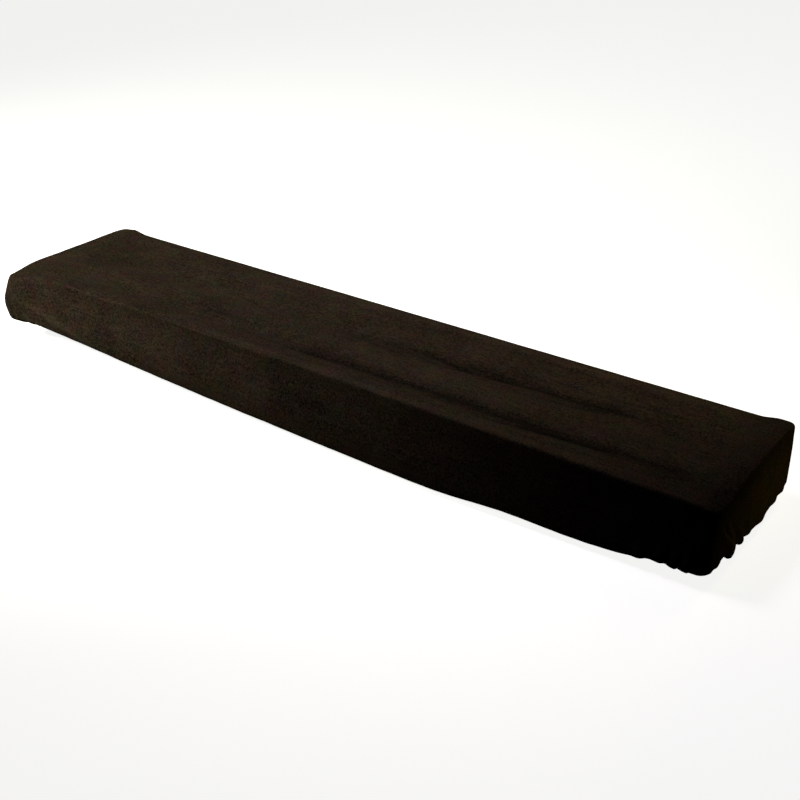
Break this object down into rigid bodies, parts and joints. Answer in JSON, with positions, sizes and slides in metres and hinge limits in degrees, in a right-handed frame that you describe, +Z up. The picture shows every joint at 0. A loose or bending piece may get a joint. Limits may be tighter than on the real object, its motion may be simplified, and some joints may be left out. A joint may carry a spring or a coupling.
{
  "type": "piano cover",
  "caption": "Fitted stretch dust cover for a full-length keyboard piano: flat top, four hanging walls and an elastic hem that gathers at the corners.",
  "frame": {"origin": "on the underside of the top, halfway along, 240 mm behind the front wall, on the flat strip that lies on the instrument's panel", "axes": "+X along the cover to the player's right, +Y away from the player to the back, +Z up"},
  "size_m": [1.3668, 0.3241, 0.1265],
  "materials": {
    "cover_cloth": "matt brown-black stretch knit"
  },
  "bodies": {
    "root": {"cover_cloth": "cover_cloth"}
  },
  "joints": []
}
